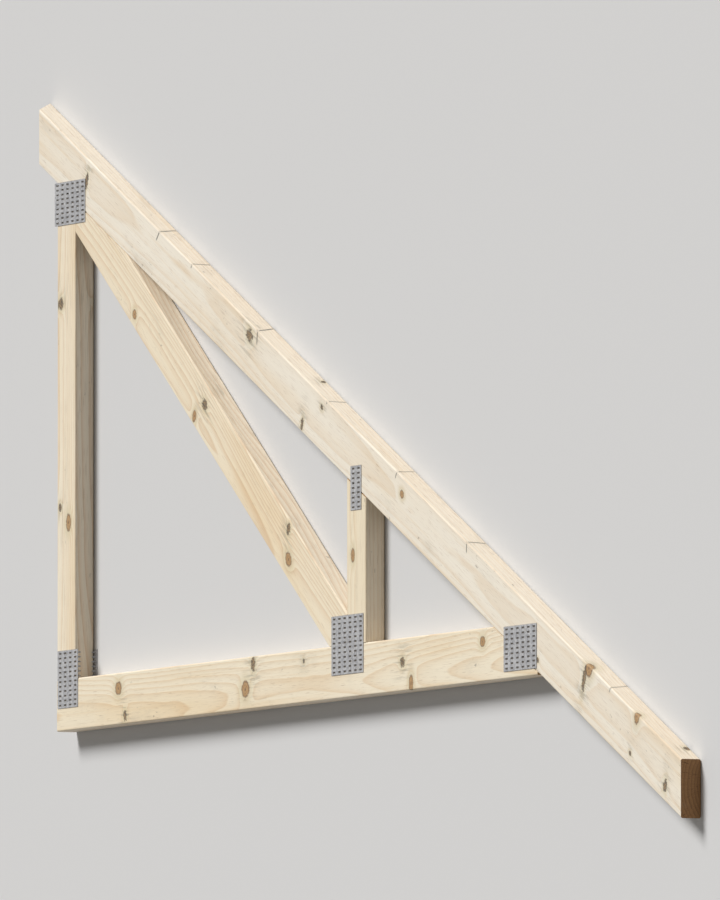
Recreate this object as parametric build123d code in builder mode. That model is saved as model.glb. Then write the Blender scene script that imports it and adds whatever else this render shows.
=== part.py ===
from build123d import *
import math
import os

# Jack truss of a hip roof, lying flat with its left face up.
# The truss drawing is set out as run, forward from the tip, and rise, above the underside
# of the bottom chord. The tail points along +X and the upper edge of the roof along +Y.

# Timber
timber_depth = 90.0
timber_thickness = 35.0
arris_radius = 3.0
joint_gap = 0.3

# Roof
pitch = 22.5
hip_bevel = 45.0
tip_to_heel = 2400.0
overhang = 635.0
heel_butt = 5.0

# Webs
end_post_setback = 91.0
mid_post_setback = 1500.0

# Nail plates
sheet_thickness = 1.0
slot_length = 14.0
slot_width = 3.2
slot_pitch = 25.0
slot_row_pitch = 8.2
heel_plate_length = 150.0
heel_plate_depth = 75.0
heel_plate_front_margin = 15.0
heel_plate_lower_margin = 12.0
end_head_plate_length = 150.0
end_head_plate_depth = 75.0
end_head_plate_rear_lap = 10.0
end_head_plate_drop = 10.0
mid_head_plate_length = 50.0
mid_head_plate_depth = 75.0
mid_foot_plate_length = 150.0
mid_foot_plate_depth = 100.0
mid_foot_plate_front_margin = 10.0
end_foot_plate_length = 100.0
end_foot_plate_depth = 100.0
end_foot_plate_rear_margin = 5.0

# Set-out that follows from the sizes above
slope = math.tan(math.radians(pitch))
bevel_reach = timber_thickness * math.tan(math.radians(hip_bevel))
tail_run = tip_to_heel + overhang
highest_rise = (tip_to_heel + bevel_reach) * slope + timber_depth / math.cos(math.radians(pitch))
lowest_rise = -overhang * slope
middle_run = (tail_run - bevel_reach) / 2
middle_rise = (highest_rise + lowest_rise) / 2
timber_middle = sheet_thickness + timber_thickness / 2
upper_face = sheet_thickness + timber_thickness

os.makedirs("parts", exist_ok=True)


def underside(run):
    """Rise of the top chord's underside at a run from the tip."""
    return (tip_to_heel - run) * slope


def spot(run, rise, height=timber_middle):
    """Place of a point of the truss drawing, at a height above the floor."""
    return Vector(run - middle_run, rise - middle_rise, height)


def section_plane(run, rise, turn):
    """Plane of a timber's cross-section, for a timber that leaves a point at a turn from level."""
    along = Vector(1, 0, 0).rotate(Axis.Z, turn)
    across = Vector(0, 1, 0).rotate(Axis.Z, turn)
    return Plane(origin=spot(run, rise), x_dir=across, z_dir=along)


def saw_plane(run, rise, turn):
    """Plane of a square saw cut through a point, with the waste on the side that turn faces."""
    return Plane(origin=spot(run, rise), z_dir=Vector(1, 0, 0).rotate(Axis.Z, turn))


# The saw cut that follows the top chord's underside, a joint gap below it
pitch_cut = saw_plane(tip_to_heel, -joint_gap / math.cos(math.radians(pitch)), 90 - pitch)
# Where a web's foot stands, a joint gap above the bottom chord
web_foot = timber_depth + joint_gap

# Top chord: plumb cut at the tail, plumb cut with the hip bevel at the tip
chord_lift = timber_depth / 2 / math.cos(math.radians(pitch))
chord_start = -bevel_reach - timber_depth
chord_stock = (tail_run - chord_start + timber_depth) / math.cos(math.radians(pitch))
tip_normal = Vector(-1, 0, 0).rotate(Axis.Y, hip_bevel)

with BuildPart() as top_chord:
    with BuildSketch(section_plane(chord_start, underside(chord_start) + chord_lift, -pitch)):
        RectangleRounded(timber_depth, timber_thickness, arris_radius)
    extrude(amount=chord_stock)
    split(bisect_by=saw_plane(tail_run, 0, 0), keep=Keep.BOTTOM)
    split(bisect_by=Plane(origin=spot(0, 0, upper_face), z_dir=tip_normal), keep=Keep.BOTTOM)
top_chord.part.label = "top_chord"
export_step(top_chord.part, "parts/top_chord.step")

# Bottom chord: square at the end post, scarfed to a blunt nose at the heel
nose_run = tip_to_heel - heel_butt / slope

with BuildPart() as bottom_chord:
    with BuildSketch(section_plane(end_post_setback, timber_depth / 2, 0)):
        RectangleRounded(timber_depth, timber_thickness, arris_radius)
    extrude(amount=nose_run - end_post_setback)
    split(bisect_by=pitch_cut, keep=Keep.BOTTOM)
bottom_chord.part.label = "bottom_chord"
export_step(bottom_chord.part, "parts/bottom_chord.step")

# End post and mid post: square on the bottom chord, cut to the pitch under the top chord
with BuildPart() as end_post:
    with BuildSketch(section_plane(end_post_setback + timber_depth / 2, web_foot, 90)):
        RectangleRounded(timber_depth, timber_thickness, arris_radius)
    extrude(amount=underside(end_post_setback))
    split(bisect_by=pitch_cut, keep=Keep.BOTTOM)
end_post.part.label = "end_post"
export_step(end_post.part, "parts/end_post.step")

with BuildPart() as mid_post:
    with BuildSketch(section_plane(mid_post_setback + timber_depth / 2, web_foot, 90)):
        RectangleRounded(timber_depth, timber_thickness, arris_radius)
    extrude(amount=underside(mid_post_setback))
    split(bisect_by=pitch_cut, keep=Keep.BOTTOM)
mid_post.part.label = "mid_post"
export_step(mid_post.part, "parts/mid_post.step")

# Diagonal web: from the mid post's foot up to the end post's head, cut twice at each end
head_run = end_post_setback + timber_depth
web_run = mid_post_setback - head_run
web_rise = underside(head_run) - timber_depth
web_turn = math.degrees(math.atan2(web_rise, -web_run))
web_length = math.hypot(web_run, web_rise)

with BuildPart() as diagonal_web:
    with BuildSketch(section_plane(head_run + web_run / 2, timber_depth + web_rise / 2, web_turn)):
        RectangleRounded(timber_depth, timber_thickness, arris_radius)
    extrude(amount=web_length / 2 + timber_depth, both=True)
    split(bisect_by=saw_plane(mid_post_setback, web_foot, -90), keep=Keep.BOTTOM)
    split(bisect_by=saw_plane(mid_post_setback - joint_gap, 0, 0), keep=Keep.BOTTOM)
    split(bisect_by=saw_plane(head_run + joint_gap, 0, 180), keep=Keep.BOTTOM)
    split(bisect_by=pitch_cut, keep=Keep.BOTTOM)
diagonal_web.part.label = "diagonal_web"
export_step(diagonal_web.part, "parts/diagonal_web.step")


def punched_sheet(length, depth, run, rise, height):
    """Sheet of a nail plate, level on the truss drawing, with its slots punched through."""
    columns = int(length // slot_pitch)
    rows = int(depth // slot_row_pitch)
    with BuildPart() as sheet:
        with BuildSketch(Plane(origin=spot(run, rise, height))):
            Rectangle(length, depth)
            with GridLocations(slot_pitch, slot_row_pitch, columns, rows):
                Rectangle(slot_length, slot_width, mode=Mode.SUBTRACT)
        extrude(amount=sheet_thickness)
    return sheet


# Nail plates: name, length, depth, run and rise of the middle
heel_plate_run = tip_to_heel - heel_plate_front_margin - heel_plate_length / 2
heel_plate_rise = heel_plate_lower_margin + heel_plate_depth / 2
end_head_plate_run = end_post_setback - end_head_plate_rear_lap + end_head_plate_length / 2
end_head_plate_rise = underside(end_head_plate_run) - end_head_plate_drop
mid_head_plate_run = mid_post_setback + timber_depth / 2
mid_foot_plate_run = (
    mid_post_setback + timber_depth - mid_foot_plate_front_margin - mid_foot_plate_length / 2
)
end_foot_plate_run = end_post_setback + end_foot_plate_rear_margin + end_foot_plate_length / 2

nail_plates = (
    ("heel_plate", heel_plate_length, heel_plate_depth, heel_plate_run, heel_plate_rise),
    (
        "end_head_plate",
        end_head_plate_length,
        end_head_plate_depth,
        end_head_plate_run,
        end_head_plate_rise,
    ),
    (
        "mid_head_plate",
        mid_head_plate_length,
        mid_head_plate_depth,
        mid_head_plate_run,
        underside(mid_head_plate_run),
    ),
    (
        "mid_foot_plate",
        mid_foot_plate_length,
        mid_foot_plate_depth,
        mid_foot_plate_run,
        timber_depth,
    ),
    (
        "end_foot_plate",
        end_foot_plate_length,
        end_foot_plate_depth,
        end_foot_plate_run,
        timber_depth,
    ),
)

for name, length, depth, run, rise in nail_plates:
    for face, height in (("upper", upper_face), ("lower", 0)):
        plate = punched_sheet(length, depth, run, rise, height)
        plate.part.label = f"{name}_{face}"
        export_step(plate.part, f"parts/{name}_{face}.step")
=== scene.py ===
"""Dress the jack truss in pine and galvanised sheet, and light it as a pale studio does."""

import logging
import math
from collections.abc import Mapping, Sequence
from dataclasses import dataclass, field
from enum import Enum
from typing import Any

import bmesh
import bpy
from mathutils import Matrix, Vector


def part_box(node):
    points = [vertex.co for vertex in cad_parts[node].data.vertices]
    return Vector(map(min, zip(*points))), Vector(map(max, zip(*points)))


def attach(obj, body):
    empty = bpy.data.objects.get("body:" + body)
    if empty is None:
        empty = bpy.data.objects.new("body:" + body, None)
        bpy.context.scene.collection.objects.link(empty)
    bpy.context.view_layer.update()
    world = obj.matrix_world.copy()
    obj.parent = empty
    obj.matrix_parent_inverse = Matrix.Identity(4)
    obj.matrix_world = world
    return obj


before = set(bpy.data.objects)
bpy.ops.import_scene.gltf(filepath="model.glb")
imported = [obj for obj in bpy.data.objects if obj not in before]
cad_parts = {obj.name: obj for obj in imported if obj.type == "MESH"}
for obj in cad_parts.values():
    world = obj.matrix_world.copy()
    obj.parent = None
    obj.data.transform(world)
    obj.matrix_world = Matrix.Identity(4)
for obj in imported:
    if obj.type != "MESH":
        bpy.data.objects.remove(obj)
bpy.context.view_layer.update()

log = logging.getLogger("jack_truss")

Colour = tuple[float, float, float, float]
Span = tuple[float, float]
Socket = bpy.types.NodeSocket

PITCH = math.radians(22.5)
ROOT = "root"
BOARD_NAMES = ("top_chord", "bottom_chord", "end_post", "mid_post", "diagonal_web")
JOINT_NAMES = ("heel_plate", "end_head_plate", "mid_head_plate", "mid_foot_plate", "end_foot_plate")
WHITE = (1.0, 1.0, 1.0, 1.0)

# The Mix node has sockets of one name for numbers and for colours, so the colours' sockets are
# taken by their place.
MIX_SHARE = 0
MIX_UNDER = 6
MIX_OVER = 7
MIX_RESULT = 2


def srgb(red: int, green: int, blue: int) -> Colour:
    """Turn a colour as seen on a screen into the linear colour that a shader takes.

    Args:
        red: The red share, from 0 to 255.
        green: The green share, from 0 to 255.
        blue: The blue share, from 0 to 255.

    Returns:
        The linear colour, with full alpha.
    """
    # The numbers below are those of the sRGB curve.
    linear = []
    for share in (red, green, blue):
        level = share / 255
        linear.append(level / 12.92 if level <= 0.04045 else ((level + 0.055) / 1.055) ** 2.4)
    return (linear[0], linear[1], linear[2], 1.0)


class Slot(Enum):
    """The record's material slots."""

    PINE = "pine"
    SHEET = "galvanised_sheet"


class Side(Enum):
    """The side of the truss that a nail plate is pressed into."""

    UPPER = "upper"
    LOWER = "lower"


@dataclass(frozen=True)
class Pattern:
    """How fine and how rough a noise is.

    Attributes:
        stretch: Features to the metre along x, y and z.
        detail: How many finer layers are added.
        roughness: How strong the finer layers are.
    """

    stretch: tuple[float, float, float]
    detail: float = 2.0
    roughness: float = 0.5


@dataclass(frozen=True)
class Drift:
    """A slow drift along one axis.

    Attributes:
        pace: Turns of the drift to the metre.
        reach: The drift's full width.
        offset: A number that tells it from the same board's other drifts.
    """

    pace: float
    reach: float
    offset: float = 0.0


class Signal:
    """A number that flows through a material's nodes, with arithmetic that adds Math nodes."""

    def __init__(self, sheet: "NodeSheet", socket: Socket) -> None:
        """Wrap a socket of a node sheet."""
        self.sheet = sheet
        self.socket = socket

    def __add__(self, other: "Signal | float") -> "Signal":
        """Add a number or signal."""
        return self.sheet.math("ADD", self, other)

    __radd__ = __add__

    def __sub__(self, other: "Signal | float") -> "Signal":
        """Take a number or signal away."""
        return self.sheet.math("SUBTRACT", self, other)

    def __rsub__(self, other: float) -> "Signal":
        """Take this signal from a number."""
        return self.sheet.math("SUBTRACT", other, self)

    def __mul__(self, other: "Signal | float") -> "Signal":
        """Multiply by a number or signal."""
        return self.sheet.math("MULTIPLY", self, other)

    __rmul__ = __mul__

    def __truediv__(self, other: "Signal | float") -> "Signal":
        """Divide by a number or signal."""
        return self.sheet.math("DIVIDE", self, other)

    def __rtruediv__(self, other: float) -> "Signal":
        """Divide a number by this signal."""
        return self.sheet.math("DIVIDE", other, self)

    def __pow__(self, power: float) -> "Signal":
        """Raise this signal to a power."""
        return self.sheet.math("POWER", self, power)

    def __abs__(self) -> "Signal":
        """Drop the sign."""
        return self.sheet.math("ABSOLUTE", self)

    def least(self, other: "Signal | float") -> "Signal":
        """Keep the smaller of this signal and another."""
        return self.sheet.math("MINIMUM", self, other)

    def most(self, other: "Signal | float") -> "Signal":
        """Keep the larger of this signal and another."""
        return self.sheet.math("MAXIMUM", self, other)

    def rise(self, low: float, high: float) -> "Signal":
        """Go smoothly from 0 at one level to 1 at another.

        Args:
            low: The level that gives 0.
            high: The level that gives 1, which may be the lower of the two.

        Returns:
            The share, from 0 to 1.
        """
        node = self.sheet.add(
            "ShaderNodeMapRange",
            {"interpolation_type": "SMOOTHSTEP", "clamp": True},
            {"Value": self, "From Min": low, "From Max": high, "To Min": 0.0, "To Max": 1.0},
        )
        return Signal(self.sheet, node.outputs["Result"])

    def between(self, least: float, most: float) -> "Signal":
        """Go evenly from one level at 0 to another at 1."""
        return self * (most - least) + least


class NodeSheet:
    """The node tree of a material or of the world, with methods that add to it."""

    def __init__(self, owner: bpy.types.Material | bpy.types.World) -> None:
        """Start an empty tree.

        Args:
            owner: The new material or world.
        """
        owner.use_nodes = True
        self.tree = owner.node_tree
        self.tree.nodes.clear()

    def add(
        self,
        kind: str,
        settings: Mapping[str, Any] | None = None,
        sockets: Mapping[str | int, Any] | None = None,
    ) -> bpy.types.Node:
        """Add a node, set it up and feed it.

        Args:
            kind: The node's type.
            settings: The node's own settings, which are set first.
            sockets: What each input takes: a signal, a socket, or a plain value.

        Returns:
            The new node.
        """
        node = self.tree.nodes.new(kind)
        for key, value in (settings or {}).items():
            setattr(node, key, value)
        for key, value in (sockets or {}).items():
            source = value.socket if isinstance(value, Signal) else value
            if isinstance(source, Socket):
                self.tree.links.new(source, node.inputs[key])
            else:
                node.inputs[key].default_value = source
        return node

    def math(self, operation: str, *operands: "Signal | float") -> Signal:
        """Add a Math node with its inputs in order, and give its result."""
        node = self.add("ShaderNodeMath", {"operation": operation}, dict(enumerate(operands)))
        return Signal(self, node.outputs[0])

    def split(self, vector: Socket) -> tuple[Signal, Signal, Signal]:
        """Take a vector apart.

        Args:
            vector: The vector socket.

        Returns:
            Its x, y and z.
        """
        node = self.add("ShaderNodeSeparateXYZ", None, {"Vector": vector})
        return (
            Signal(self, node.outputs["X"]),
            Signal(self, node.outputs["Y"]),
            Signal(self, node.outputs["Z"]),
        )

    def vector(self, operation: str, first: Any, second: Any) -> Socket:
        """Work out a vector from two others, by a Vector Math node's operation."""
        node = self.add("ShaderNodeVectorMath", {"operation": operation}, {0: first, 1: second})
        return node.outputs["Vector"]

    def measure(self, operation: str, *vectors: Any) -> Signal:
        """Work out a number from one or two vectors, by a Vector Math node's operation."""
        node = self.add("ShaderNodeVectorMath", {"operation": operation}, dict(enumerate(vectors)))
        return Signal(self, node.outputs["Value"])

    def noise(self, vector: Socket, pattern: Pattern) -> Signal:
        """Read noise at a place, with its own scale along each axis.

        Args:
            vector: The place.
            pattern: How fine and how rough the noise is.

        Returns:
            The noise, from about 0 to 1.
        """
        node = self.add(
            "ShaderNodeTexNoise",
            {"noise_dimensions": "3D"},
            {
                "Vector": self.vector("MULTIPLY", vector, pattern.stretch),
                "Scale": 1.0,
                "Detail": pattern.detail,
                "Roughness": pattern.roughness,
            },
        )
        return Signal(self, node.outputs["Fac"])

    def wander(self, along: Signal, drift: Drift, seed: float) -> Signal:
        """Read a slow drift along one axis.

        Args:
            along: The place along the axis.
            drift: The drift's pace and reach.
            seed: A number that tells one board from another.

        Returns:
            The drift, about 0.
        """
        place = along * drift.pace + (seed + drift.offset)
        node = self.add(
            "ShaderNodeTexNoise",
            {"noise_dimensions": "1D"},
            {"W": place, "Scale": 1.0, "Detail": 1.0, "Roughness": 0.4},
        )
        return (Signal(self, node.outputs["Fac"]) - 0.5) * drift.reach

    def blend(self, share: Signal, under: Any, over: Any) -> Socket:
        """Mix two colours.

        Args:
            share: How much of the second shows.
            under: The first colour.
            over: The second colour.

        Returns:
            The mixed colour.
        """
        node = self.add(
            "ShaderNodeMix",
            {"data_type": "RGBA", "clamp_factor": True},
            {MIX_SHARE: share, MIX_UNDER: under, MIX_OVER: over},
        )
        return node.outputs[MIX_RESULT]

    def shade(self, colour: Any, level: "Signal | float") -> Socket:
        """Darken or lighten a colour by a factor on all three of its shares."""
        node = self.add("ShaderNodeVectorMath", {"operation": "SCALE"}, {0: colour, "Scale": level})
        return node.outputs["Vector"]

    def finish(
        self, constants: Mapping[str, Any], varying: Mapping[str, Any], height: Signal, depth: float
    ) -> None:
        """Close a material with a surface shader whose normal comes from a height.

        Args:
            constants: Sockets that are the same all over.
            varying: Sockets that change over the surface.
            height: The relief, from 0 to about 1.
            depth: How far the relief reaches, in metres.
        """
        bump = self.add("ShaderNodeBump", None, {"Height": height, "Distance": depth, "Strength": 1.0})
        surface = self.add(
            "ShaderNodeBsdfPrincipled",
            None,
            {**constants, **varying, "Normal": bump.outputs["Normal"]},
        )
        self.add("ShaderNodeOutputMaterial", None, {"Surface": surface.outputs["BSDF"]})


def cover(piece: bpy.types.Object, material: bpy.types.Material) -> None:
    """Make a material the only one of a piece."""
    piece.data.materials.clear()
    piece.data.materials.append(material)


def put_in_order(shape: bmesh.types.BMesh) -> None:
    """Sort a shape's corners and faces by their place.

    The operators leave them in an order that changes from run to run.

    Args:
        shape: The shape.
    """
    for rank, corner in enumerate(sorted(shape.verts, key=lambda vert: vert.co[:])):
        corner.index = rank
    for rank, side in enumerate(sorted(shape.faces, key=lambda face: face.calc_center_median()[:])):
        side.index = rank
    shape.verts.sort()
    shape.faces.sort()


def add_piece(name: str, shape: bmesh.types.BMesh) -> bpy.types.Object:
    """Turn a finished shape into an object of the scene.

    Args:
        name: The object's name.
        shape: The shape, which is freed.

    Returns:
        The object.
    """
    put_in_order(shape)
    mesh = bpy.data.meshes.new(name)
    shape.to_mesh(mesh)
    shape.free()
    piece = bpy.data.objects.new(name, mesh)
    bpy.context.scene.collection.objects.link(piece)
    return piece


@dataclass(frozen=True)
class Tint:
    """A colour that comes in as a level goes from one value to another.

    Attributes:
        low: The level at which the colour begins.
        high: The level at which it is full.
        strength: How much of it shows when it is full.
        colour: The colour.
    """

    low: float
    high: float
    strength: float
    colour: Colour

    def share(self, level: Signal) -> Signal:
        """Give how full the colour is at a level, from 0 to 1."""
        return level.rise(self.low, self.high)

    def over(self, under: Any, level: Signal, mask: "Signal | float" = 1.0) -> Socket:
        """Lay the colour over another one, as the level brings it in and the mask holds it back."""
        return level.sheet.blend(self.share(level) * (mask * self.strength), under, self.colour)


class Branch(Enum):
    """How a knot's wood lies in the board."""

    SOUND = "sound"
    DEAD = "dead"


@dataclass(frozen=True)
class Knot:
    """A branch that crosses a board.

    Attributes:
        along: Distance from the board's start.
        across: Distance from the board's middle line, towards its upper edge.
        radius: The branch's radius.
        stretch: Length along the grain over width.
        lean: Degrees that the branch leans from the thickness towards the upper edge.
        branch: Whether the wood is sound or dead.
    """

    along: float
    across: float
    radius: float
    stretch: float = 1.4
    lean: float = 12.0
    branch: Branch = Branch.SOUND


@dataclass(frozen=True)
class Tick:
    """A set-out line drawn by hand over a board's upper edge.

    Attributes:
        along: Distance from the board's start.
        reach: How far it comes down the faces.
        slant: How far it leans along the board for each metre down the face.
        skew: How far it leans along the board for each metre through it.
        weight: How dark it is, from 0 to 1.
    """

    along: float
    reach: float
    slant: float
    skew: float
    weight: float


@dataclass(frozen=True)
class Rect:
    """A rectangle of the truss drawing, in metres.

    Attributes:
        x: Middle along X.
        y: Middle along Y.
        half_x: Half the size along X.
        half_y: Half the size along Y.
    """

    x: float
    y: float
    half_x: float
    half_y: float


@dataclass(frozen=True)
class Grain:
    """Where a point lies in a board, as signals.

    Attributes:
        sheet: The material that the signals belong to.
        place: The point in the row frame.
        seeded: The point in the board's own frame, shifted so that no two boards share their noise.
        along: Along the grain.
        across: Across the board.
        through: Through the board.
        drop: Distance below the upper edge.
        sound: Nearness of the closest sound knot, in knot radii.
        dead: Nearness of the closest dead knot, in knot radii.
        end: 1 on a sawn end and 0 along the board.
        edge: 1 on the narrow edges and 0 on the broad faces.
        near_edge: 1 at the narrow edges and 0 further in than an arris.
        near_face: 1 at the broad faces and 0 further in than an arris.
    """

    sheet: NodeSheet
    place: Socket
    seeded: Socket
    along: Signal
    across: Signal
    through: Signal
    drop: Signal
    sound: Signal
    dead: Signal
    end: Signal
    edge: Signal
    near_edge: Signal
    near_face: Signal

    @property
    def knot(self) -> Signal:
        """Give the nearness of the closest knot of either kind."""
        return self.sound.least(self.dead)

    def noise(self, pattern: Pattern) -> Signal:
        """Read noise in the board."""
        return self.sheet.noise(self.seeded, pattern)


@dataclass(frozen=True)
class Rings:
    """The growth rings of the log that a board was sawn from.

    The log's heart, the pith, drifts across and through the board. A knot bends the rings up to
    some of its own radii out. In each ring the summer wood darkens by a power of the way, and
    stops over late_end.
    """

    width: float = 0.0062
    pith_across: float = 0.012
    pith_below: float = 0.085
    sway: Drift = Drift(0.8, 0.05, 3.1)
    lift: Drift = Drift(0.6, 0.035, 8.7)
    spacing: Drift = Drift(60.0, 1.1)
    waver: Pattern = Pattern((5.0, 38.0, 38.0))
    waver_reach: float = 0.0032
    bend_radii: float = 2.0
    bend_reach: float = 0.013
    late_power: float = 2.6
    late_end: Span = (0.9, 1.0)

    def late_wood(self, grain: Grain, seed: float) -> Signal:
        """Draw the growth rings, bent round the knots.

        Args:
            grain: Where the point lies in the board.
            seed: A number that tells one board from another.

        Returns:
            The summer wood's strength, from 0 to 1.
        """
        sheet = grain.sheet
        side = grain.across - self.pith_across + sheet.wander(grain.along, self.sway, seed)
        up = grain.through + self.pith_below + sheet.wander(grain.along, self.lift, seed)
        radius = (side * side + up * up) ** 0.5
        waver = (grain.noise(self.waver) - 0.5) * self.waver_reach
        bend = self.bend_reach / ((grain.knot / self.bend_radii) ** 2.0 + 1.0) ** 2.0
        phase = (radius + waver + bend) / self.width + sheet.wander(radius, self.spacing, seed)
        share = sheet.math("FRACT", phase)
        return share**self.late_power * (1.0 - share.rise(*self.late_end))


@dataclass(frozen=True)
class SawnEnd:
    """A sawn end, fresh or darkened with painted shade, with its rings, rays and drying checks.

    The rays are a noise on the turn about the pith, the length and the height. A check opens in
    the middle of that noise and is broken up by the speckle of torn fibres.
    """

    fresh: Colour = srgb(198, 161, 117)
    # Painted shade: the darker tint of a sawn end that lies in shade, used at the top chord's tail.
    painted_shade_end: Colour = srgb(156, 116, 76)
    painted_shade_reach: float = 0.1
    late_strength: float = 0.7
    late_shade: float = 0.42
    speckle: Pattern = Pattern((260.0, 260.0, 260.0), 3.0)
    speckle_level: Span = (0.78, 1.18)
    rays: Pattern = Pattern((26.0, 3.0, 9.0))
    check: Tint = Tint(0.012, 0.002, 0.75, srgb(50, 34, 24))
    check_break: Span = (0.42, 0.56)

    def over(
        self, colour: Socket, grain: Grain, rings: Rings, late: Signal, painted_shade_from: float
    ) -> Socket:
        """Colour the sawn ends.

        Args:
            colour: The wood's colour so far.
            grain: Where the point lies in the board.
            rings: The growth rings.
            late: The summer wood's strength.
            painted_shade_from: Distance along the board past which an end is darkened with painted shade.

        Returns:
            The colour.
        """
        sheet = grain.sheet
        speckle = grain.noise(self.speckle)
        # Painted shade: past the given distance along the board the sawn end takes the darker tint.
        dark = grain.along.rise(painted_shade_from - self.painted_shade_reach, painted_shade_from)
        tint = sheet.blend(dark, self.fresh, self.painted_shade_end)
        sawn = sheet.blend(late * self.late_strength, tint, sheet.shade(tint, self.late_shade))
        sawn = sheet.shade(sawn, speckle.between(*self.speckle_level))
        up = grain.through + rings.pith_below
        angle = sheet.math("ARCTAN2", grain.across - rings.pith_across, up)
        place = sheet.add("ShaderNodeCombineXYZ", None, {"X": angle, "Y": grain.along, "Z": up})
        rays = sheet.noise(place.outputs["Vector"], self.rays)
        sawn = self.check.over(sawn, abs(rays - 0.5), speckle.rise(*self.check_break))
        return sheet.blend(grain.end, colour, sawn)


@dataclass(frozen=True)
class Rim:
    """The dark ring round a knot, from its inner to its outer radius, broken by the crumbs."""

    inner: Span
    outer: Span
    broken: Span
    strength: float
    colour: Colour

    def over(self, under: Socket, nearness: Signal, crumbs: Signal) -> Socket:
        """Lay the ring over the wood.

        Args:
            under: The wood's colour so far.
            nearness: Nearness of the closest knot, in knot radii.
            crumbs: The noise of the crumbling wood.

        Returns:
            The colour.
        """
        ring = nearness.rise(*self.inner) * nearness.rise(*self.outer)
        share = ring * crumbs.rise(*self.broken) * self.strength
        return nearness.sheet.blend(share, under, self.colour)


@dataclass(frozen=True)
class KnotFinish:
    """The wood of the knots, their rims and the stained grain beside them.

    Spans and reaches are counted in knot radii from a knot's heart. Flecks and decay follow the
    noise of the crumbs, and smoke is held back by the wisps. The ragged noise makes the outlines
    uneven. A board with no knot of a kind has its nearness at far, and through the board a knot
    is endless.
    """

    sound: Colour = srgb(166, 128, 82)
    sound_cover: float = 0.95
    sound_span: Span = (1.12, 0.86)
    bark: Colour = srgb(52, 40, 30)
    dead_cover: float = 0.9
    dead_span: Span = (1.15, 0.75)
    ring: Colour = srgb(128, 90, 54)
    ring_strength: float = 0.4
    ring_pace: float = 15.0
    crumbs: Pattern = Pattern((240.0, 240.0, 240.0), 3.0, 0.65)
    flecks: Tint = Tint(0.4, 0.62, 0.5, srgb(196, 162, 116))
    decay: Tint = Tint(0.44, 0.56, 1.0, srgb(142, 114, 76))
    heart: Tint = Tint(0.35, 0.1, 0.7, srgb(92, 66, 46))
    halo: Tint = Tint(3.0, 0.9, 0.5, srgb(208, 196, 160))
    smoke: Tint = Tint(7.0, 1.0, 0.5, srgb(140, 133, 116))
    wisps: Pattern = Pattern((16.0, 210.0, 210.0), 3.0, 0.6)
    wisp_span: Span = (0.47, 0.66)
    sound_rim: Rim = Rim((0.72, 0.95), (1.25, 1.02), (0.3, 0.55), 0.7, srgb(92, 66, 46))
    dead_rim: Rim = Rim((0.7, 0.95), (1.35, 1.05), (0.4, 0.55), 0.85, srgb(52, 40, 30))
    ragged: Pattern = Pattern((95.0, 170.0, 170.0), 3.0, 0.6)
    sound_ragged: float = 0.55
    dead_ragged: float = 1.5
    far: float = 50.0
    endless: float = 1000.0

    def over(self, colour: Socket, grain: Grain) -> Socket:
        """Colour the knots and the grain beside them.

        Args:
            colour: The wood's colour so far.
            grain: Where the point lies in the board.

        Returns:
            The colour.
        """
        sheet = grain.sheet
        colour = self.halo.over(colour, grain.knot)
        colour = self.smoke.over(colour, grain.dead, grain.noise(self.wisps).rise(*self.wisp_span))
        crumbs = grain.noise(self.crumbs)
        wave = sheet.math("SINE", grain.sound * self.ring_pace) * 0.5 + 0.5
        sound = sheet.blend(wave * self.ring_strength, self.sound, self.ring)
        sound = self.heart.over(self.flecks.over(sound, crumbs), grain.sound)
        colour = sheet.blend(grain.sound.rise(*self.sound_span) * self.sound_cover, colour, sound)
        colour = self.sound_rim.over(colour, grain.sound, crumbs)
        dead = self.decay.over(self.bark, crumbs)
        colour = sheet.blend(grain.dead.rise(*self.dead_span) * self.dead_cover, colour, dead)
        return self.dead_rim.over(colour, grain.dead, crumbs)


@dataclass(frozen=True)
class Dirt:
    """Handling dirt: grey smudges, specks of grit that lie in them, and worn arrises."""

    scuff: Pattern = Pattern((5.0, 22.0, 22.0), 4.0, 0.65)
    smudge: Tint = Tint(0.56, 0.78, 0.28, srgb(164, 156, 140))
    grit: Pattern = Pattern((60.0, 150.0, 150.0))
    speck: Tint = Tint(0.66, 0.78, 0.5, srgb(96, 88, 76))
    speck_within: Span = (0.5, 0.62)
    worn: Tint = Tint(0.42, 0.58, 0.4, srgb(184, 152, 108))

    def over(self, colour: Socket, grain: Grain) -> Socket:
        """Dirty the wood.

        Args:
            colour: The wood's colour so far.
            grain: Where the point lies in the board.

        Returns:
            The colour.
        """
        scuff = grain.noise(self.scuff)
        colour = self.smudge.over(colour, scuff)
        colour = self.speck.over(colour, grain.noise(self.grit), scuff.rise(*self.speck_within))
        return self.worn.over(colour, scuff, grain.near_edge * grain.near_face)


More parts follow.
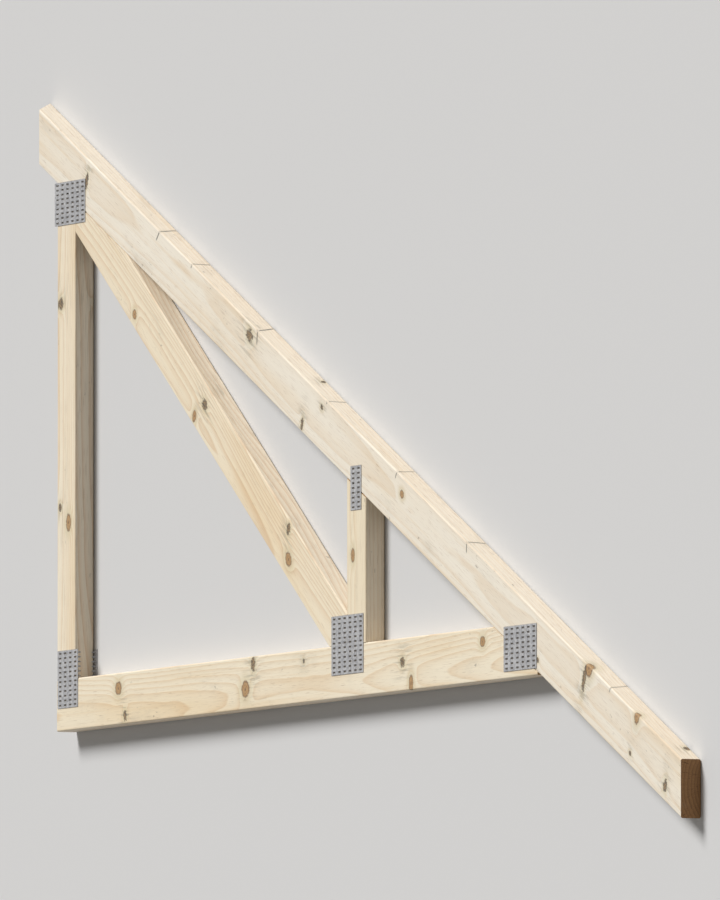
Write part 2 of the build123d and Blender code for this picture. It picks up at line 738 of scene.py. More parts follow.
@dataclass(frozen=True)
class Pencil:
    """What the set-out lines are drawn with.

    A line's soft sides are counted in half widths, and its soft end in its reach down the face.
    """

    colour: Colour = srgb(72, 72, 66)
    half_width: float = 0.0019
    soft_sides: Span = (1.6, 0.5)
    soft_end: Span = (1.15, 0.85)
    hand: Pattern = Pattern((40.0, 40.0, 40.0))
    hand_reach: float = 0.006
    fade: Pattern = Pattern((120.0, 90.0, 90.0))
    fade_level: Span = (0.55, 1.25)

    def over(self, colour: Socket, grain: Grain, ticks: Sequence[Tick]) -> Socket:
        """Draw the set-out lines.

        Args:
            colour: The wood's colour so far.
            grain: Where the point lies in the board.
            ticks: The lines.

        Returns:
            The colour.
        """
        if not ticks:
            return colour
        stray = (grain.noise(self.hand) - 0.5) * self.hand_reach
        sides = [self.half_width * side for side in self.soft_sides]
        lines: Signal | float = 0.0
        for tick in ticks:
            lean = grain.drop * tick.slant + grain.through * tick.skew
            stroke = abs(grain.along - tick.along + lean + stray).rise(*sides)
            stroke = stroke * grain.drop.rise(*(tick.reach * end for end in self.soft_end))
            lines = (stroke * tick.weight).most(lines)
        left = grain.noise(self.fade).between(*self.fade_level)
        return grain.sheet.blend(lines * left, colour, self.colour)


@dataclass(frozen=True)
class PlateCrushAndShade:
    """Crushed wood and painted shade under a nail plate, from just outside its edge to just inside it."""

    colour: Colour = srgb(46, 37, 30)
    strength: float = 0.93
    outside: float = 0.0012
    inside: float = 0.0006

    def over(self, colour: Socket, grain: Grain, plates: Sequence[Rect]) -> Socket:
        """Darken the wood under the plates, as crushed wood and painted shade.

        Args:
            colour: The wood's colour so far.
            grain: Where the point lies in the board.
            plates: The plates' rectangles.

        Returns:
            The colour.
        """
        x, y, _ = grain.sheet.split(grain.place)
        for plate in plates:
            # Partly crushed wood, partly painted shade: the slots read dark and a painted contact shadow
            # rings the plate.
            under = abs(x - plate.x).rise(plate.half_x + self.outside, plate.half_x - self.inside)
            under = under * abs(y - plate.y).rise(plate.half_y + self.outside, plate.half_y - self.inside)
            colour = grain.sheet.blend(under * grain.near_face * self.strength, colour, self.colour)
        return colour


@dataclass(frozen=True)
class PineRelief:
    """The relief and the gloss of planed and sawn wood.

    Every height is a share of the depth, which is in metres. A dead knot sinks in.
    """

    depth: float = 0.00035
    planer_pitch: float = 0.0042
    planer_height: float = 0.04
    late_height: float = 0.3
    fibre_height: float = 0.5
    end_late_height: float = 0.6
    saw: Pattern = Pattern((900.0, 60.0, 900.0))
    saw_height: float = 0.9
    sunk_span: Span = (1.0, 0.3)
    sunk_depth: float = 0.9
    roughness: float = 0.56
    fibre_roughness: float = 0.16
    late_gloss: float = 0.05
    end_roughness: float = 0.12
    specular: float = 0.35

    def height_at(self, grain: Grain, late: Signal, fibre: Signal) -> Signal:
        """Give the relief's height at a point.

        Args:
            grain: Where the point lies in the board.
            late: The summer wood's strength.
            fibre: Fine streaks along the grain.

        Returns:
            The height.
        """
        ripple = grain.sheet.math("SINE", grain.along * (math.tau / self.planer_pitch))
        planed = late * self.late_height + fibre * self.fibre_height + ripple * self.planer_height
        sawn = late * self.end_late_height + grain.noise(self.saw) * self.saw_height
        sunk = grain.dead.rise(*self.sunk_span) * self.sunk_depth
        return planed * (1.0 - grain.end) + sawn * grain.end - sunk

    def roughness_at(self, grain: Grain, late: Signal, fibre: Signal) -> Signal:
        """Give the roughness at a point, from its summer wood and its fine streaks."""
        rough = self.roughness + fibre * self.fibre_roughness - late * self.late_gloss
        return rough + grain.end * self.end_roughness


@dataclass(frozen=True)
class PineFinish:
    """Planed pine, as growth rings, fibres and knots in a solid piece of wood.

    Attributes:
        early: Colour of the pale spring wood.
        late: Colour of the darker summer wood at full strength.
        warm: Colour that the wood drifts to in broad patches.
        contrast: How strongly the summer wood shows.
        seed: A number that tells one board from another.
        late_level: Share of the contrast from the lowest to the highest broad noise.
        fibre_level: Brightness from the darkest to the lightest fibre.
    """

    early: Colour = srgb(240, 233, 219)
    late: Colour = srgb(214, 184, 142)
    warm: Colour = srgb(233, 216, 189)
    contrast: float = 0.42
    seed: float = 0.0
    rings: Rings = Rings()
    # The narrow edges' warmer tint is partly their own planed tone and partly painted warm light.
    edge: Colour = srgb(238, 226, 208)
    edge_tone_and_light_strength: float = 0.6
    broad: Pattern = Pattern((1.3, 11.0, 11.0))
    warm_span: Span = (0.42, 0.78)
    warm_strength: float = 0.8
    late_level: Span = (0.6, 1.4)
    fibre: Pattern = Pattern((9.0, 420.0, 420.0), 3.0, 0.6)
    fibre_level: Span = (0.93, 1.07)
    streak: Pattern = Pattern((2.2, 95.0, 95.0))
    streak_tint: Tint = Tint(0.56, 0.74, 0.3, srgb(222, 196, 156))
    resin: Pattern = Pattern((30.0, 1300.0, 1300.0), 0.0)
    resin_tint: Tint = Tint(0.68, 0.78, 0.35, srgb(146, 112, 78))
    knots: KnotFinish = KnotFinish()
    sawn: SawnEnd = SawnEnd()
    dirt: Dirt = Dirt()
    pencil: Pencil = Pencil()
    # Crushed wood under the plates, with painted shade in the slots and a painted contact shadow at their
    # edges.
    plate_crush_and_shade: PlateCrushAndShade = PlateCrushAndShade()
    relief: PineRelief = PineRelief()

    def planed(self, grain: Grain, late: Signal, fibre: Signal) -> Socket:
        """Colour the planed faces and edges.

        Args:
            grain: Where the point lies in the board.
            late: The summer wood's strength.
            fibre: Fine streaks along the grain.

        Returns:
            The colour.
        """
        sheet = grain.sheet
        broad = grain.noise(self.broad)
        colour = sheet.blend(broad.rise(*self.warm_span) * self.warm_strength, self.early, self.warm)
        # The narrow edges' tint: partly their own tone, partly painted warm light.
        colour = sheet.blend(grain.edge * self.edge_tone_and_light_strength, colour, self.edge)
        strength = late * self.contrast * broad.between(*self.late_level)
        colour = sheet.blend(strength, colour, self.late)
        colour = sheet.shade(colour, fibre.between(*self.fibre_level))
        colour = self.streak_tint.over(colour, grain.noise(self.streak))
        return self.resin_tint.over(colour, grain.noise(self.resin))


@dataclass
class Board:
    """One timber of the truss: where its grain runs and what marks it.

    Attributes:
        node: The CAD node's name.
        start: Where the board's middle line starts.
        turn: The grain's direction, from +X towards +Y.
        finish: The board's wood.
        knots: The board's knots.
        ticks: The set-out lines across its upper edge.
        painted_shade_from: Distance along the board past which a sawn end is darkened with painted
        shade, which is more than its length where none is.
        end_lean: How far a normal leans along the grain where a sawn end begins and is full.
        edge_lean: How far a normal leans across the grain where an edge begins and is full.
        seed_stride: How far the noise moves along the grain for each 1 of the seed.
    """

    node: str
    start: Vector
    turn: float
    finish: PineFinish
    knots: Sequence[Knot] = ()
    ticks: Sequence[Tick] = ()
    painted_shade_from: float = 10.0

    half_depth: float = 0.045
    half_thickness: float = 0.0175
    arris: float = 0.003
    end_lean: Span = (0.5, 0.62)
    edge_lean: Span = (0.6, 0.85)
    seed_stride: float = 7.3

    def dress(self, plates: Sequence[Rect]) -> None:
        """Give the CAD node its wood.

        Args:
            plates: The nail plates that are pressed into it.
        """
        material = bpy.data.materials.new(f"{self.node}_pine")
        sheet = NodeSheet(material)
        grain = self._grain(sheet)
        wood = self.finish
        late = wood.rings.late_wood(grain, wood.seed)
        fibre = grain.noise(wood.fibre)

        colour = wood.planed(grain, late, fibre)
        colour = wood.sawn.over(colour, grain, wood.rings, late, self.painted_shade_from)
        colour = wood.knots.over(colour, grain)
        colour = wood.dirt.over(colour, grain)
        colour = wood.pencil.over(colour, grain, self.ticks)
        # Crushed wood and painted shade under the nail plates.
        colour = wood.plate_crush_and_shade.over(colour, grain, plates)
        sheet.finish(
            {"Specular IOR Level": wood.relief.specular, "Metallic": 0.0},
            {"Base Color": colour, "Roughness": wood.relief.roughness_at(grain, late, fibre)},
            wood.relief.height_at(grain, late, fibre),
            wood.relief.depth,
        )
        cad_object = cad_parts[self.node]
        cover(cad_object, material)

    def _grain(self, sheet: NodeSheet) -> Grain:
        """Set up the board's own frame and what is measured in it.

        Args:
            sheet: The material being made.

        Returns:
            The measures.
        """
        place = sheet.add("ShaderNodeTexCoord").outputs["Object"]
        local = sheet.add(
            "ShaderNodeMapping",
            {"vector_type": "TEXTURE"},
            {"Vector": place, "Location": self.start, "Rotation": (0.0, 0.0, self.turn)},
        ).outputs["Vector"]
        shift = (self.finish.seed * self.seed_stride, self.finish.seed, 0.0)
        along, across, through = sheet.split(local)
        normal = sheet.add("ShaderNodeNewGeometry").outputs["Normal"]
        end_axis = (math.cos(self.turn), math.sin(self.turn), 0.0)
        edge_axis = (-math.sin(self.turn), math.cos(self.turn), 0.0)
        return Grain(
            sheet=sheet,
            place=place,
            seeded=sheet.vector("ADD", local, shift),
            along=along,
            across=across,
            through=through,
            drop=self.half_depth - across,
            sound=self._nearness(sheet, local, Branch.SOUND),
            dead=self._nearness(sheet, local, Branch.DEAD),
            end=abs(sheet.measure("DOT_PRODUCT", normal, end_axis)).rise(*self.end_lean),
            edge=abs(sheet.measure("DOT_PRODUCT", normal, edge_axis)).rise(*self.edge_lean),
            near_edge=abs(across).rise(self.half_depth - self.arris, self.half_depth),
            near_face=abs(through).rise(self.half_thickness - self.arris, self.half_thickness),
        )

    def _nearness(self, sheet: NodeSheet, local: Socket, branch: Branch) -> Signal:
        """Measure how near the closest knot of one kind is, in knot radii.

        Args:
            sheet: The material being made.
            local: Place in the board's frame.
            branch: The kind of knot.

        Returns:
            0 at a knot's heart, 1 at its rim, and more outside.
        """
        wood = self.finish.knots
        nearness: Signal | float = wood.far
        for knot in self.knots:
            if knot.branch is not branch:
                continue
            inside = sheet.add(
                "ShaderNodeMapping",
                {"vector_type": "TEXTURE"},
                {
                    "Vector": local,
                    "Location": (knot.along, knot.across, self.half_thickness),
                    "Rotation": (-math.radians(knot.lean), 0.0, 0.0),
                    "Scale": (knot.radius * knot.stretch, knot.radius, wood.endless),
                },
            )
            nearness = sheet.measure("LENGTH", inside.outputs["Vector"]).least(nearness)
        reach = wood.sound_ragged if branch is Branch.SOUND else wood.dead_ragged
        return nearness + (sheet.noise(local, wood.ragged) - 0.5) * reach


@dataclass(frozen=True)
class SheetFinish:
    """Galvanised steel sheet with its zinc flowers, dulled in patches and a little grimy.

    Flowers and their warp are counted to the metre. A share of the colour is each flower's own
    tone, and the rest is a cloud. Heights are shares of the depth, which is in metres.
    """

    dark: Colour = srgb(128, 129, 133)
    light: Colour = srgb(186, 186, 187)
    flower: float = 210.0
    warp: float = 110.0
    warp_reach: float = 0.005
    tone_share: float = 0.45
    cloud: Pattern = Pattern((24.0, 24.0, 24.0), 4.0, 0.6)
    cloud_share: float = 0.55
    bloom: Pattern = Pattern((60.0, 60.0, 60.0), 5.0, 0.7)
    bloom_tint: Tint = Tint(0.54, 0.72, 0.5, srgb(180, 177, 172))
    grime: Pattern = Pattern((31.0, 31.0, 31.0), 5.0, 0.7)
    grime_tint: Tint = Tint(0.6, 0.8, 0.35, srgb(96, 88, 78))
    roughness: float = 0.62
    turn_roughness: float = 0.16
    bloom_roughness: float = 0.22
    metallic: float = 0.6
    bloom_loss: float = 0.3
    grime_loss: float = 0.2
    specular: float = 0.4
    depth: float = 0.0006
    facet_height: float = 1.1
    bloom_height: float = 0.3

    def material(self, name: str) -> bpy.types.Material:
        """Make the finish.

        Args:
            name: The material's name.

        Returns:
            The material.
        """
        material = bpy.data.materials.new(name)
        sheet = NodeSheet(material)
        place = sheet.add("ShaderNodeTexCoord").outputs["Object"]
        warp = sheet.add("ShaderNodeTexNoise", None, {"Vector": place, "Scale": self.warp, "Detail": 2.0})
        shifted = sheet.vector("ADD", place, sheet.shade(warp.outputs["Color"], self.warp_reach))
        flowers = sheet.add(
            "ShaderNodeTexVoronoi", {"feature": "F1"}, {"Vector": shifted, "Scale": self.flower}
        )
        chance = flowers.outputs["Color"]
        tone, turn, _ = sheet.split(chance)
        cloud = sheet.noise(place, self.cloud)
        bloom = sheet.noise(place, self.bloom)
        grime = sheet.noise(place, self.grime)
        colour = sheet.blend(tone * self.tone_share + cloud * self.cloud_share, self.dark, self.light)
        colour = self.bloom_tint.over(colour, bloom)
        colour = self.grime_tint.over(colour, grime)
        dull = self.bloom_tint.share(bloom)
        dirty = self.grime_tint.share(grime)

        from_heart = sheet.vector("SUBTRACT", shifted, flowers.outputs["Position"])
        lean = sheet.vector("SUBTRACT", chance, (0.5, 0.5, 0.5))
        facet = sheet.measure("DOT_PRODUCT", from_heart, lean) * (self.flower * self.facet_height)
        sheet.finish(
            {"Specular IOR Level": self.specular},
            {
                "Base Color": colour,
                "Roughness": self.roughness + turn * self.turn_roughness + dull * self.bloom_roughness,
                "Metallic": self.metallic - dull * self.bloom_loss - dirty * self.grime_loss,
            },
            facet + dull * self.bloom_height,
            self.depth,
        )
        return material


@dataclass
class NailPlate:
    """A punched nail plate and the bent roots of its teeth.

    Where wood hides the rest, a tooth ends root_depth past its bend. The skin keeps it inside the
    sheet's faces, and point_width is the share of its width that is left at its point.

    Attributes:
        node: The CAD node's name.
        finish: The sheet's material.
        rounding: What keeps a whole number of slots from being rounded down.
        up: 1 on the upper side of the truss, and -1 on the lower one.
        face: Height of the sheet's outer face.
    """

    node: str
    finish: bpy.types.Material

    slot_length: float = 0.014
    slot_width: float = 0.0032
    slot_pitch: float = 0.025
    slot_row_pitch: float = 0.0082
    bend_radius: float = 0.0015
    bend_steps: int = 4
    root_depth: float = 0.0012
    tooth_length: float = 0.0050
    point_length: float = 0.0020
    point_width: float = 0.2
    side_clearance: float = 0.0002
    skin: float = 0.00003
    rounding: float = 0.01

    low: Vector = field(init=False)
    high: Vector = field(init=False)
    thickness: float = field(init=False)
    faces_up: bool = field(init=False)
    up: float = field(init=False)
    face: float = field(init=False)

    def __post_init__(self) -> None:
        """Read the plate's box from the frame."""
        self.low, self.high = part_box(self.node)
        self.thickness = self.high.z - self.low.z
        self.faces_up = self.low.z > self.thickness
        self.up = 1.0 if self.faces_up else -1.0
        self.face = self.high.z if self.faces_up else self.low.z

    def rect(self) -> Rect:
        """Give the plate's rectangle on the truss drawing.

        Returns:
            The rectangle.
        """
        middle = (self.low + self.high) / 2
        half = (self.high - self.low) / 2
        return Rect(middle.x, middle.y, half.x, half.y)

    def dress(self) -> None:
        """Give the sheet its finish and build the roots of its teeth."""
        cad_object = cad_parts[self.node]
        cover(cad_object, self.finish)
        teeth = self._teeth()
        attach(teeth, ROOT)
        log.info("nail plate %s: %d tooth roots", self.node, len(self._slots()) * 2)

    def _slots(self) -> list[tuple[float, float]]:
        """List the middles of the slots, as the sheet has them.

        Returns:
            Each slot's middle along X and Y.
        """
        rect = self.rect()
        columns = math.floor(2 * rect.half_x / self.slot_pitch + self.rounding)
        rows = math.floor(2 * rect.half_y / self.slot_row_pitch + self.rounding)
        return [
            (
                rect.x + (column - (columns - 1) / 2) * self.slot_pitch,
                rect.y + (row - (rows - 1) / 2) * self.slot_row_pitch,
            )
            for column in range(columns)
            for row in range(rows)
        ]

    def _teeth(self) -> bpy.types.Object:
        """Build the bent roots at both ends of every slot.

        Returns:
            One object that holds them all.
        """
        shape = bmesh.new()
        for x, y in self._slots():
            for side in (1.0, -1.0):
                self._tooth(shape, x + side * self.slot_length / 2, y, side)
        bmesh.ops.recalc_face_normals(shape, faces=shape.faces)
        teeth = add_piece(f"{self.node}_teeth", shape)
        cover(teeth, self.finish)
        return teeth

    def _has_wood(self, x: float, y: float) -> bool:
        """Tell whether a board lies under a point of the plate.

        Args:
            x: The point along X.
            y: The point along Y.

        Returns:
            True where a tooth goes into wood.
        """
        origin = Vector((x, y, self.face))
        toward = Vector((0.0, 0.0, -self.up))
        reach = self.thickness * 2
        return any(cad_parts[name].ray_cast(origin, toward, distance=reach)[0] for name in BOARD_NAMES)

    def _tooth(self, shape: bmesh.types.BMesh, end: float, y: float, side: float) -> None:
        """Bend one tooth from a slot's end down into the wood.

        The part that the wood hides is left out. A tooth past the wood's edge is whole.

        Args:
            shape: The mesh to add to.
            end: The slot's end along X.
            y: The slot's middle along Y.
            side: Which end of the slot it is, 1 or -1 along X.
        """
        width = self.slot_width - 2 * self.side_clearance
        thickness = self.thickness - 2 * self.skin
        section = bmesh.ops.create_grid(shape, x_segments=1, y_segments=1, size=0.5)["verts"]
        bmesh.ops.scale(shape, vec=(thickness, width, 1.0), verts=section)
        bmesh.ops.rotate(shape, cent=(0, 0, 0), matrix=Matrix.Rotation(math.pi / 2, 3, "Y"), verts=section)
        height = self.face - self.up * self.thickness / 2
        bmesh.ops.translate(shape, vec=(end + side * self.skin, y, height), verts=section)
        sweep = bmesh.ops.spin(
            shape,
            geom=[section[0].link_faces[0]],
            cent=(end, y, self.face - self.up * self.bend_radius),
            axis=(0.0, 1.0, 0.0),
            angle=-side * self.up * math.pi / 2,
            steps=self.bend_steps,
            use_duplicate=False,
        )
        tip = [item for item in sweep["geom_last"] if isinstance(item, bmesh.types.BMFace)]
        if self._has_wood(end - side * self.bend_radius, y):
            self._push(shape, tip, self.root_depth)
            return
        tip = self._push(shape, tip, self.tooth_length)
        tip = self._push(shape, tip, self.point_length)
        middle = sum((vert.co for vert in tip[0].verts), Vector()) / 4
        bmesh.ops.scale(
            shape,
            vec=(1.0, self.point_width, 1.0),
            space=Matrix.Translation(-middle),
            verts=list(tip[0].verts),
        )

    def _push(
        self, shape: bmesh.types.BMesh, faces: list[bmesh.types.BMFace], reach: float
    ) -> list[bmesh.types.BMFace]:
        """Draw a tooth's end face further from the sheet.

        Args:
            shape: The mesh.
            faces: The end face.
            reach: How far it goes.

        Returns:
            The new end face.
        """
        pushed = bmesh.ops.extrude_discrete_faces(shape, faces=faces)["faces"]
        bmesh.ops.translate(shape, vec=(0.0, 0.0, -self.up * reach), verts=list(pushed[0].verts))
        return pushed


@dataclass
class Timbers:
    """The truss's five boards.

    Attributes:
        plates: The nail plates that are pressed into them.
        depth: Depth of their section.
        thickness: Thickness of their section.
        tail_shade_from: Distance along the top chord past which its sawn end is darkened with painted shade.
    """

    plates: Sequence[NailPlate]
    depth: float = 0.090
    thickness: float = 0.035
    tail_shade_from: float = 2.0

    @property
    def plumb(self) -> float:
        """Give the top chord's depth as a plumb cut shows it."""
        return self.depth / math.cos(PITCH)

    def _plates_on(self, node: str) -> list[Rect]:
        """List the upper plates whose rectangles reach over a board's box.

        Args:
            node: The board's node.

        Returns:
            The plates' rectangles.
        """
        low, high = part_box(node)
        found = []
        for plate in self.plates:
            if not plate.faces_up:
                continue
            rect = plate.rect()
            if low.x < rect.x + rect.half_x and rect.x - rect.half_x < high.x:
                if low.y < rect.y + rect.half_y and rect.y - rect.half_y < high.y:
                    found.append(rect)
        return found

    def _rafter_place(self, run: float, drop: float) -> tuple[float, float]:
        """Turn a run from the tip and a plumb drop into a place along and across the top chord."""
        along = run / math.cos(PITCH) - (self.plumb / 2 - drop) * math.sin(PITCH)
        return along, self.depth / 2 - drop * math.cos(PITCH)

    @staticmethod
    def _foot(node: str) -> Vector:
        """Find the middle of the foot of a post's node."""
        low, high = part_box(node)
        return Vector(((low.x + high.x) / 2, low.y, (low.z + high.z) / 2))

    def top_chord(self) -> Board:
        """Set out the top chord, from its tip down to its tail.

        Returns:
            The board.
        """
        low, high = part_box("top_chord")
        tip_x = low.x + self.thickness
        middle_z = (low.z + high.z) / 2
        middle_y = low.y + self.plumb / 2 + (high.x - tip_x) * math.tan(PITCH)
        start = Vector((tip_x, middle_y, middle_z))
        sound, dead = Branch.SOUND, Branch.DEAD
        knots = [
            Knot(*self._rafter_place(run, drop), *wood)
            for run, drop, *wood in (
                (0.238, 0.040, 0.0036, 1.6, 74.0, dead),
                (1.036, 0.022, 0.0078, 1.8, 35.0, dead),
                (1.287, 0.083, 0.0036, 1.5, -70.0, dead),
                (1.382, 0.020, 0.0034, 1.6, 40.0, dead),
                (1.760, 0.030, 0.0056, 1.6, 30.0, sound),
                (2.389, 0.077, 0.0038, 1.2, 15.0, dead),
                (2.600, 0.030, 0.0048, 1.4, 76.0, dead),
                (2.622, 0.004, 0.0090, 1.6, 50.0, sound),
                (2.807, 0.076, 0.0036, 1.3, 20.0, dead),
                (2.839, 0.002, 0.0066, 1.5, 62.0, sound),
                (2.964, 0.071, 0.0040, 1.7, -66.0, dead),
            )
        ]
        ticks = [
            Tick(*spec)
            for spec in (
                (0.626, 0.019, 0.50, -0.15, 0.95),
                (0.801, 0.008, 0.10, 0.10, 0.80),
                (1.139, 0.023, -0.20, -0.30, 0.90),
                (1.508, 0.006, 0.30, 0.15, 0.65),
                (1.862, 0.013, 0.35, -0.05, 0.75),
                (2.216, 0.017, -0.35, 0.20, 0.85),
                (2.921, 0.009, 0.20, -0.20, 0.65),
            )
        ]
        finish = PineFinish(seed=1.7)
        # The top chord's tail end gets the painted shade past this distance.
        return Board("top_chord", start, -PITCH, finish, knots, ticks, self.tail_shade_from)

    def bottom_chord(self) -> Board:
        """Set out the bottom chord, from the end post to the heel.

        Returns:
            The board.
        """
        low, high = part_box("bottom_chord")
        start = Vector((low.x, (low.y + high.y) / 2, (low.z + high.z) / 2))
        finish = PineFinish(
            early=srgb(240, 230, 208),
            warm=srgb(232, 211, 174),
            late=srgb(208, 168, 116),
            contrast=0.5,
            seed=4.2,
            rings=Rings(width=0.0048, pith_across=-0.02, pith_below=0.06),
        )
        knots = [
            Knot(0.305, 0.018, 0.0105, 1.35, 8.0),
            Knot(0.338, -0.031, 0.0050, 1.5, -52.0, Branch.DEAD),
            Knot(0.925, -0.010, 0.0130, 1.3, -14.0),
            Knot(0.962, 0.032, 0.0060, 1.5, 60.0, Branch.DEAD),
            Knot(1.205, 0.026, 0.0033, 1.3, 30.0, Branch.DEAD),
            Knot(1.672, 0.004, 0.0070, 1.4, 22.0, Branch.DEAD),
            Knot(1.712, -0.034, 0.0065, 1.5, -62.0),
            Knot(2.045, 0.022, 0.0080, 1.4, 18.0),
        ]
        return Board("bottom_chord", start, 0.0, finish, knots)

    def end_post(self) -> Board:
        """Set out the end post, from its foot up.

        Returns:
            The board.
        """
        finish = PineFinish(
            early=srgb(241, 231, 210),
            warm=srgb(234, 213, 178),
            late=srgb(204, 162, 112),
            contrast=0.55,
            seed=9.6,
            rings=Rings(width=0.0055, pith_across=0.05, pith_below=0.05),
        )
        knots = [
            Knot(0.272, -0.012, 0.0110, 1.3, -10.0),
            Knot(0.300, 0.030, 0.0045, 1.4, 48.0, Branch.DEAD),
            Knot(0.655, 0.027, 0.0062, 1.4, 58.0, Branch.DEAD),
        ]
        return Board("end_post", self._foot("end_post"), math.pi / 2, finish, knots)

    def mid_post(self) -> Board:
        """Set out the mid post, from its foot up.

        Returns:
            The board.
        """
        finish = PineFinish(
            early=srgb(239, 227, 202),
            warm=srgb(230, 206, 168),
            contrast=0.5,
            seed=13.4,
            rings=Rings(width=0.007, pith_across=-0.03),
        )
        knots = [Knot(0.150, 0.016, 0.0080, 1.4)]
        return Board("mid_post", self._foot("mid_post"), math.pi / 2, finish, knots)

    def diagonal_web(self) -> Board:
        """Set out the diagonal web, from the mid post's foot up.

        Returns:
            The board.
        """
        low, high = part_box("diagonal_web")
        turn = math.atan2(high.y - low.y, low.x - high.x)
        start = Vector((high.x, low.y, (low.z + high.z) / 2))
        finish = PineFinish(
            early=srgb(240, 228, 204),
            warm=srgb(232, 208, 168),
            late=srgb(198, 154, 102),
            contrast=0.55,
            seed=21.9,
            rings=Rings(width=0.0052, pith_across=0.03, pith_below=0.045),
        )
        knots = [
            Knot(0.318, 0.014, 0.0105, 1.35, 10.0),
            Knot(0.346, -0.030, 0.0048, 1.5, -60.0, Branch.DEAD),
            Knot(0.812, -0.012, 0.0078, 1.4, 20.0, Branch.DEAD),
            Knot(0.846, 0.029, 0.0056, 1.5, 55.0),
            Knot(1.196, 0.023, 0.0060, 1.5, 40.0),
        ]
        return Board("diagonal_web", start, turn, finish, knots)

    def dress(self) -> None:
        """Give every board its wood."""
        for board in (
            self.top_chord(),
            self.bottom_chord(),
            self.end_post(),
            self.mid_post(),
            self.diagonal_web(),
        ):
            board.dress(self._plates_on(board.node))
            log.info("board %s: %d knots", board.node, len(board.knots))


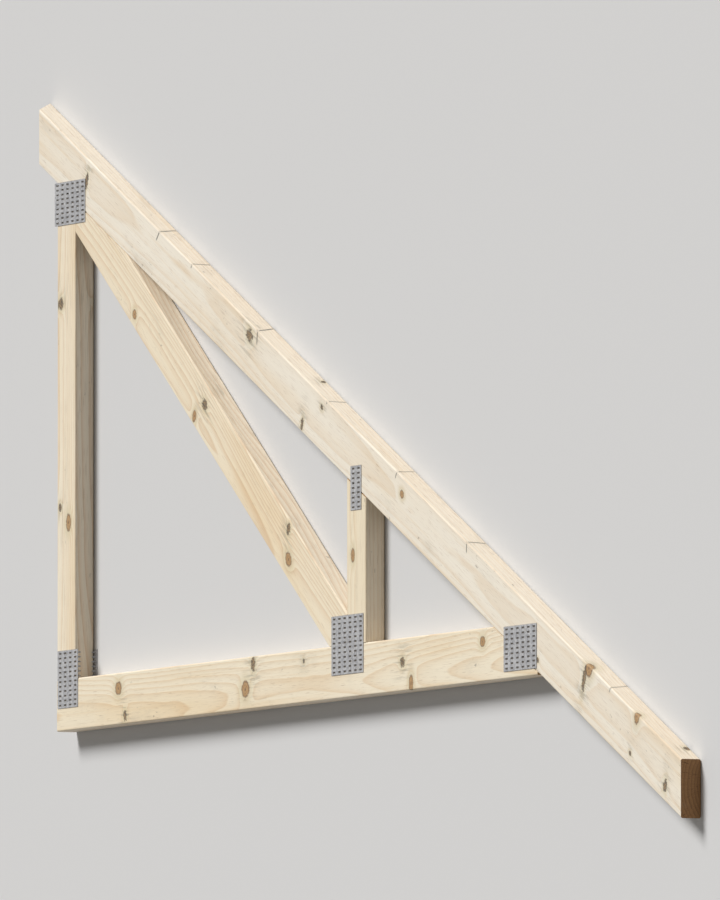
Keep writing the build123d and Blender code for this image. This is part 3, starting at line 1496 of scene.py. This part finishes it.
@dataclass
class Studio:
    """The pale floor, the lamps and the camera.

    Attributes:
        yaw: How far the camera stands to the side of the truss's run.
        tilt: How far the camera looks up the roof.
        distance: How far off the camera stands.
        margin: The frame's height over the object's.
        sensor: Width of the camera's sensor, in millimetres.
        key_from: The side that the key lamp shines from.
        floor_gap: Gap between the floor and the truss.
    """

    yaw: float = math.radians(21.0)
    tilt: float = math.radians(3.1)
    distance: float = 48.0
    margin: float = 1.09
    aspect: float = 720 / 900
    sensor: float = 36.0
    sight_end: float = 400.0
    key_energy: float = 3.45
    key_angle: float = math.radians(24.0)
    key_colour: tuple[float, float, float] = (1.0, 0.98, 0.95)
    key_from: tuple[float, float, float] = (-0.30, 0.72, 0.66)
    fill: float = 0.23
    fill_colour: Colour = srgb(244, 240, 233)
    floor_size: float = 160.0
    floor_gap: float = 0.0002
    floor_colour: Colour = srgb(213, 214, 216)
    floor_roughness: float = 0.9

    def build(self) -> None:
        """Lay the floor, hang the lamps and set the camera up."""
        self._floor()
        self._key_lamp()
        self._fill_light()
        self._camera()
        bpy.context.scene.view_settings.view_transform = "Standard"

    def _floor(self) -> None:
        """Lay a plain pale floor under the truss."""
        shape = bmesh.new()
        corners = bmesh.ops.create_grid(shape, x_segments=1, y_segments=1, size=self.floor_size / 2)["verts"]
        bmesh.ops.translate(shape, vec=(0.0, 0.0, -self.floor_gap), verts=corners)
        floor = add_piece("floor", shape)
        paint = bpy.data.materials.new("floor_paint")
        sheet = NodeSheet(paint)
        surface = sheet.add(
            "ShaderNodeBsdfPrincipled",
            None,
            {"Base Color": self.floor_colour, "Roughness": self.floor_roughness},
        )
        sheet.add("ShaderNodeOutputMaterial", None, {"Surface": surface.outputs["BSDF"]})
        cover(floor, paint)
        log.info("floor: %.0f m square", self.floor_size)

    def _key_lamp(self) -> None:
        """Hang a broad lamp high at the picture's upper left."""
        key = bpy.data.lights.new("key", "SUN")
        key.energy = self.key_energy
        key.angle = self.key_angle
        key.color = self.key_colour
        lamp = bpy.data.objects.new("key", key)
        lamp.rotation_mode = "QUATERNION"
        lamp.rotation_quaternion = Vector(self.key_from).to_track_quat("Z", "Y")
        bpy.context.scene.collection.objects.link(lamp)
        log.info("key lamp: strength %.2f", self.key_energy)

    def _fill_light(self) -> None:
        """Make the world a weak even light that shows white to the eye and in the metal."""
        world = bpy.data.worlds.new("studio")
        sheet = NodeSheet(world)
        path = sheet.add("ShaderNodeLightPath")
        seen = Signal(sheet, path.outputs["Is Camera Ray"])
        for ray in ("Is Glossy Ray", "Is Transmission Ray"):
            seen = seen.most(Signal(sheet, path.outputs[ray]))
        light = sheet.add("ShaderNodeBackground", None, {"Color": self.fill_colour, "Strength": self.fill})
        white = sheet.add("ShaderNodeBackground", None, {"Color": WHITE, "Strength": 1.0})
        choice = sheet.add(
            "ShaderNodeMixShader",
            None,
            {0: seen, 1: light.outputs["Background"], 2: white.outputs["Background"]},
        )
        sheet.add("ShaderNodeOutputWorld", None, {"Surface": choice.outputs["Shader"]})
        bpy.context.scene.world = world
        log.info("fill light: strength %.2f", self.fill)

    def _camera(self) -> None:
        """Set the long lens at the photograph's viewing angle, with the truss filling the frame."""
        sight = Vector(
            (
                -math.cos(self.yaw) * math.cos(self.tilt),
                math.sin(self.tilt),
                -math.sin(self.yaw) * math.cos(self.tilt),
            )
        )
        right = sight.cross(Vector((0.0, 1.0, 0.0))).normalized()
        up = right.cross(sight).normalized()
        points = [vertex.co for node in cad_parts.values() for vertex in node.data.vertices]
        middle = Vector((0.0, 0.0, 0.0))
        spans = []
        for axis in (right, up):
            reach = [point.dot(axis) for point in points]
            spans.append(max(reach) - min(reach))
            middle += axis * (max(reach) + min(reach)) / 2
        frame_height = max(spans[1], spans[0] / self.aspect) * self.margin
        camera_data = bpy.data.cameras.new("long_lens")
        camera_data.sensor_width = self.sensor
        camera_data.lens = self.sensor * self.distance / frame_height
        camera_data.clip_end = self.sight_end
        camera = bpy.data.objects.new("long_lens", camera_data)
        camera.matrix_world = Matrix.Translation(middle - sight * self.distance) @ Matrix(
            (right, up, -sight)
        ).transposed().to_4x4()
        bpy.context.scene.collection.objects.link(camera)
        bpy.context.scene.camera = camera
        log.info("camera: lens %.0f mm, frame %.3f m high", camera_data.lens, frame_height)


def main() -> None:
    """Dress the truss, then build the studio round it."""
    logging.basicConfig(level=logging.INFO, format="%(message)s")
    galvanised = SheetFinish().material("galvanised_sheet")
    plates = [NailPlate(f"{joint}_{side.value}", galvanised) for joint in JOINT_NAMES for side in Side]
    for plate in plates:
        plate.dress()
    Timbers(plates).dress()
    Studio().build()


if __name__ == "__main__":
    main()
